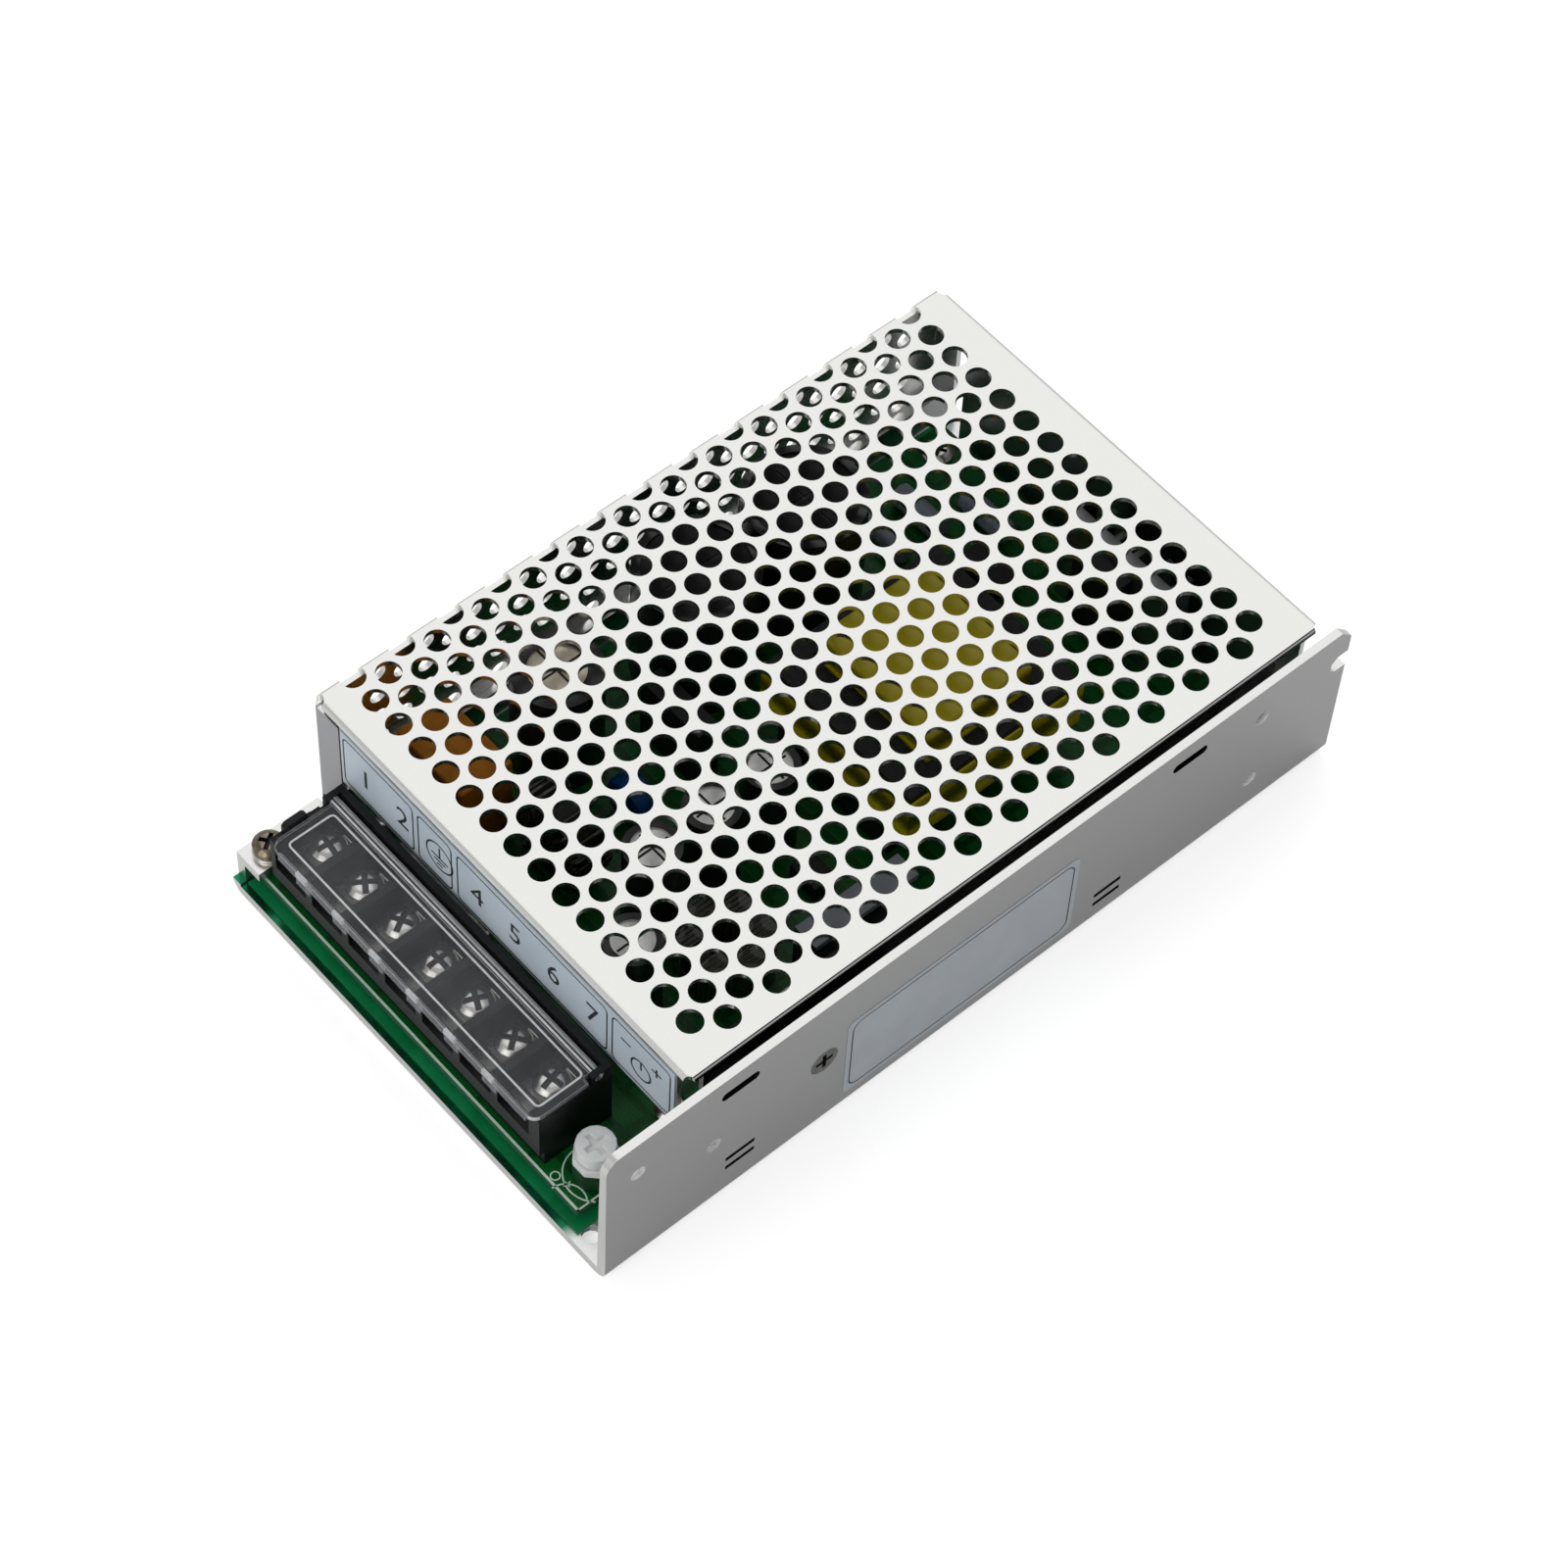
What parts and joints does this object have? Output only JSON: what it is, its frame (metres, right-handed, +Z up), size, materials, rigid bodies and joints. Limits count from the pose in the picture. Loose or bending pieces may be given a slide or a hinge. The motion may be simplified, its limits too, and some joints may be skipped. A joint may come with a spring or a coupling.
{
  "type": "switching power supply",
  "caption": "Enclosed flat power supply: folded metal chassis, perforated cover, open-fronted screw terminal block under a clear hinged lid, output adjuster.",
  "frame": {"origin": "middle of the underside", "axes": "+X towards the plain side wall, -Y towards the terminals, +Z up out of the perforated top"},
  "size_m": [0.097, 0.159, 0.036],
  "materials": {
    "chassis_aluminium": "fine brushed, slightly warm",
    "cover_steel": "bright plated sheet",
    "screw_steel": "bright plated",
    "board_green": "glossy solder mask",
    "block_black": "moulded, slightly satin",
    "lid_clear": "clear moulded",
    "nylon_white": "satin",
    "label_silver": "satin film",
    "tape_yellow": "wound film tape",
    "ferrite_black": "matte",
    "copper_wire": "enamelled wire",
    "capacitor_sleeve": "shrunk sleeve with bare top",
    "silver_can": "satin",
    "film_orange": "dipped and boxed",
    "disc_blue": "dipped",
    "disc_dark_green": "dipped",
    "package_black": "moulded",
    "heatsink_aluminium": "mill finish",
    "pad_grey": "soft sheet",
    "insulator_clear": "thin film",
    "fuse_glass": "tube with plated caps",
    "contact_plated": "tin plated",
    "resistor_body": "lacquered"
  },
  "bodies": {
    "case": {"chassis": "chassis_aluminium", "cover": "cover_steel", "cover_screws": "screw_steel", "clamp_screw": "screw_steel", "earth_screw": "screw_steel", "earth_washer": "screw_steel", "insulation_sheet": "insulator_clear", "circuit_board": "board_green", "board_standoffs": "contact_plated", "board_screws": "screw_steel", "terminal_block": "block_black", "terminal_contacts": "contact_plated", "trimmer_body": "disc_blue", "marking_strip": "label_silver", "side_label": "label_silver", "line_fuse": "fuse_glass", "fuse_clips": "contact_plated", "film_capacitor": "film_orange", "inrush_thermistor": "disc_dark_green", "line_choke_core": "ferrite_black", "line_choke_windings": "copper_wire", "bridge_rectifier": "package_black", "primary_capacitor": "silver_can", "bulk_capacitors": "capacitor_sleeve", "blue_capacitors": "disc_blue", "transformer_core": "ferrite_black", "transformer_winding": "tape_yellow", "transformer_feet": "package_black", "transformer_tape": "tape_yellow", "primary_heatsink": "heatsink_aluminium", "switch_transistor": "package_black", "controller_chip": "package_black", "power_resistors": "resistor_body", "snubber_capacitor": "film_orange", "heat_spreader": "heatsink_aluminium", "thermal_pad": "pad_grey", "output_rectifiers": "package_black", "clamp_bar": "heatsink_aluminium", "output_heatsink": "heatsink_aluminium", "output_choke_core": "ferrite_black", "output_choke_winding": "copper_wire", "output_capacitors": "capacitor_sleeve", "optocoupler": "package_black"},
    "lid": {"terminal_lid": "lid_clear"},
    "adjuster": {"trimmer_rotor": "nylon_white"},
    "washer_1": {"terminal_washer_1": "screw_steel"},
    "screw_1": {"terminal_screw_1": "screw_steel"},
    "washer_2": {"terminal_washer_2": "screw_steel"},
    "screw_2": {"terminal_screw_2": "screw_steel"},
    "washer_3": {"terminal_washer_3": "screw_steel"},
    "screw_3": {"terminal_screw_3": "screw_steel"},
    "washer_4": {"terminal_washer_4": "screw_steel"},
    "screw_4": {"terminal_screw_4": "screw_steel"},
    "washer_5": {"terminal_washer_5": "screw_steel"},
    "screw_5": {"terminal_screw_5": "screw_steel"},
    "washer_6": {"terminal_washer_6": "screw_steel"},
    "screw_6": {"terminal_screw_6": "screw_steel"},
    "washer_7": {"terminal_washer_7": "screw_steel"},
    "screw_7": {"terminal_screw_7": "screw_steel"}
  },
  "joints": [
    {"name": "lid_hinge", "type": "hinge", "parent": "case", "child": "lid", "pos_m": [-0.0063, -0.0643, 0.0207], "axis": [-1, 0, 0], "range_deg": [0, 100]},
    {"name": "adjuster_turn", "type": "hinge", "parent": "case", "child": "adjuster", "pos_m": [0.035, -0.0703, 0.0139], "axis": [0, 0, 1], "range_deg": [-135, 135]},
    {"name": "washer_lift_1", "type": "slide", "parent": "case", "child": "washer_1", "axis": [0, 0, 1], "range_m": [0, 0.0024]},
    {"name": "screw_turn_1", "type": "hinge", "parent": "washer_1", "child": "screw_1", "pos_m": [-0.0348, -0.0687, 0.015], "axis": [0, 0, 1], "range_deg": [0, 1440]},
    {"name": "washer_lift_2", "type": "slide", "parent": "case", "child": "washer_2", "axis": [0, 0, 1], "range_m": [0, 0.0024]},
    {"name": "screw_turn_2", "type": "hinge", "parent": "washer_2", "child": "screw_2", "pos_m": [-0.0253, -0.0687, 0.015], "axis": [0, 0, 1], "range_deg": [0, 1440]},
    {"name": "washer_lift_3", "type": "slide", "parent": "case", "child": "washer_3", "axis": [0, 0, 1], "range_m": [0, 0.0024]},
    {"name": "screw_turn_3", "type": "hinge", "parent": "washer_3", "child": "screw_3", "pos_m": [-0.0158, -0.0687, 0.015], "axis": [0, 0, 1], "range_deg": [0, 1440]},
    {"name": "washer_lift_4", "type": "slide", "parent": "case", "child": "washer_4", "axis": [0, 0, 1], "range_m": [0, 0.0024]},
    {"name": "screw_turn_4", "type": "hinge", "parent": "washer_4", "child": "screw_4", "pos_m": [-0.0063, -0.0687, 0.015], "axis": [0, 0, 1], "range_deg": [0, 1440]},
    {"name": "washer_lift_5", "type": "slide", "parent": "case", "child": "washer_5", "axis": [0, 0, 1], "range_m": [0, 0.0024]},
    {"name": "screw_turn_5", "type": "hinge", "parent": "washer_5", "child": "screw_5", "pos_m": [0.0032, -0.0687, 0.015], "axis": [0, 0, 1], "range_deg": [0, 1440]},
    {"name": "washer_lift_6", "type": "slide", "parent": "case", "child": "washer_6", "axis": [0, 0, 1], "range_m": [0, 0.0024]},
    {"name": "screw_turn_6", "type": "hinge", "parent": "washer_6", "child": "screw_6", "pos_m": [0.0127, -0.0687, 0.015], "axis": [0, 0, 1], "range_deg": [0, 1440]},
    {"name": "washer_lift_7", "type": "slide", "parent": "case", "child": "washer_7", "axis": [0, 0, 1], "range_m": [0, 0.0024]},
    {"name": "screw_turn_7", "type": "hinge", "parent": "washer_7", "child": "screw_7", "pos_m": [0.0222, -0.0687, 0.015], "axis": [0, 0, 1], "range_deg": [0, 1440]}
  ],
  "couplings": [
    {"joint": "screw_turn_1", "follows": "washer_lift_1", "rad_per_m": 10472},
    {"joint": "screw_turn_2", "follows": "washer_lift_2", "rad_per_m": 10472},
    {"joint": "screw_turn_3", "follows": "washer_lift_3", "rad_per_m": 10472},
    {"joint": "screw_turn_4", "follows": "washer_lift_4", "rad_per_m": 10472},
    {"joint": "screw_turn_5", "follows": "washer_lift_5", "rad_per_m": 10472},
    {"joint": "screw_turn_6", "follows": "washer_lift_6", "rad_per_m": 10472},
    {"joint": "screw_turn_7", "follows": "washer_lift_7", "rad_per_m": 10472}
  ]
}
